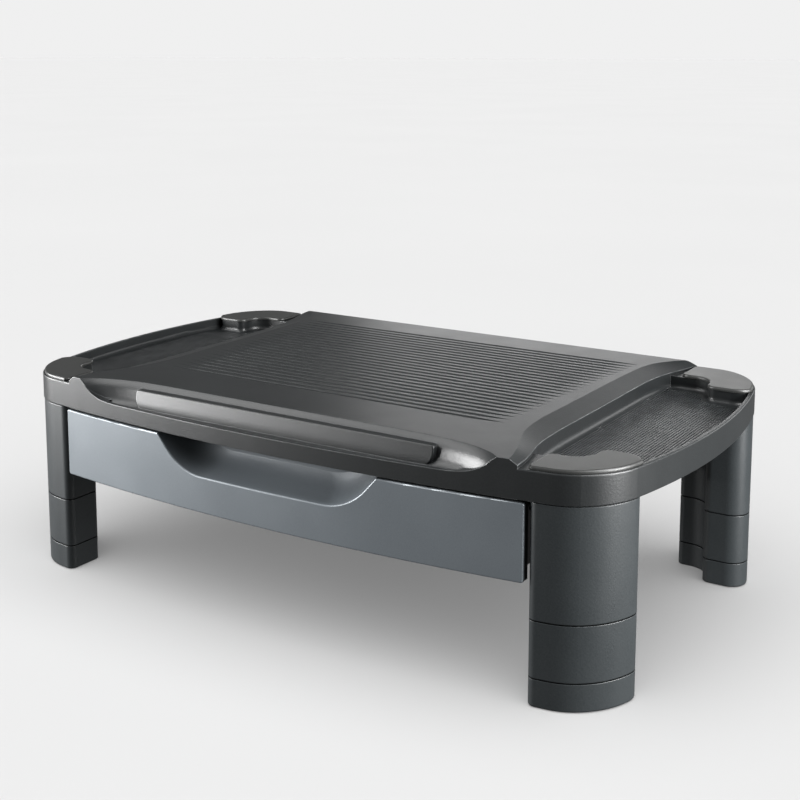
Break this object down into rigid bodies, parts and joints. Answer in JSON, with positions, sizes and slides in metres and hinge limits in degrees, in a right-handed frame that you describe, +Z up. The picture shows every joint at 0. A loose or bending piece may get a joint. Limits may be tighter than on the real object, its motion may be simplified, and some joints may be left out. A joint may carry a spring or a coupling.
{
  "type": "monitor riser stand",
  "caption": "Desk riser for a monitor or laptop with a ribbed raised platform, side trays, a tablet groove, a pull-out drawer and stackable corner legs.",
  "frame": {"origin": "on the floor under the centre of the outline", "axes": "+X to the right seen from the front, -Y towards the front where the drawer opens, +Z up"},
  "size_m": [0.566, 0.335, 0.168],
  "materials": {
    "shell_plastic": "matte, finely textured",
    "cap_plastic": "satin",
    "leg_plastic": "matte, finely textured",
    "drawer_paint": "satin, slate blue-grey",
    "tray_plastic": "matte black",
    "rail_plastic": "matte black",
    "rubber": "matte",
    "screw_steel": "zinc plated"
  },
  "bodies": {
    "stand": {"top_shell": "shell_plastic", "cap_front_right": "cap_plastic", "leg_upper_front_right": "leg_plastic", "leg_screws_front_right": "screw_steel", "cap_front_left": "cap_plastic", "leg_upper_front_left": "leg_plastic", "leg_screws_front_left": "screw_steel", "cap_rear_right": "cap_plastic", "leg_upper_rear_right": "leg_plastic", "leg_screws_rear_right": "screw_steel", "cap_rear_left": "cap_plastic", "leg_upper_rear_left": "leg_plastic", "leg_screws_rear_left": "screw_steel", "rail_right": "rail_plastic", "rail_left": "rail_plastic", "rail_screws": "screw_steel"},
    "drawer": {"drawer_front": "drawer_paint", "drawer_tray": "tray_plastic", "drawer_front_screws": "screw_steel"},
    "spacer_front_right": {"leg_spacer_front_right": "leg_plastic"},
    "foot_front_right": {"leg_foot_front_right": "leg_plastic", "foot_pad_front_right": "rubber"},
    "spacer_front_left": {"leg_spacer_front_left": "leg_plastic"},
    "foot_front_left": {"leg_foot_front_left": "leg_plastic", "foot_pad_front_left": "rubber"},
    "spacer_rear_right": {"leg_spacer_rear_right": "leg_plastic"},
    "foot_rear_right": {"leg_foot_rear_right": "leg_plastic", "foot_pad_rear_right": "rubber"},
    "spacer_rear_left": {"leg_spacer_rear_left": "leg_plastic"},
    "foot_rear_left": {"leg_foot_rear_left": "leg_plastic", "foot_pad_rear_left": "rubber"}
  },
  "joints": [
    {"name": "drawer_slide", "type": "slide", "parent": "stand", "child": "drawer", "axis": [0, -1, 0], "range_m": [0, 0.2]},
    {"name": "spacer_slide_front_right", "type": "slide", "parent": "stand", "child": "spacer_front_right", "axis": [0, 0, -1], "range_m": [0, 0.024]},
    {"name": "foot_slide_front_right", "type": "slide", "parent": "spacer_front_right", "child": "foot_front_right", "axis": [0, 0, -1], "range_m": [0, 0.024]},
    {"name": "spacer_slide_front_left", "type": "slide", "parent": "stand", "child": "spacer_front_left", "axis": [0, 0, -1], "range_m": [0, 0.024]},
    {"name": "foot_slide_front_left", "type": "slide", "parent": "spacer_front_left", "child": "foot_front_left", "axis": [0, 0, -1], "range_m": [0, 0.024]},
    {"name": "spacer_slide_rear_right", "type": "slide", "parent": "stand", "child": "spacer_rear_right", "axis": [0, 0, -1], "range_m": [0, 0.024]},
    {"name": "foot_slide_rear_right", "type": "slide", "parent": "spacer_rear_right", "child": "foot_rear_right", "axis": [0, 0, -1], "range_m": [0, 0.024]},
    {"name": "spacer_slide_rear_left", "type": "slide", "parent": "stand", "child": "spacer_rear_left", "axis": [0, 0, -1], "range_m": [0, 0.024]},
    {"name": "foot_slide_rear_left", "type": "slide", "parent": "spacer_rear_left", "child": "foot_rear_left", "axis": [0, 0, -1], "range_m": [0, 0.024]}
  ]
}
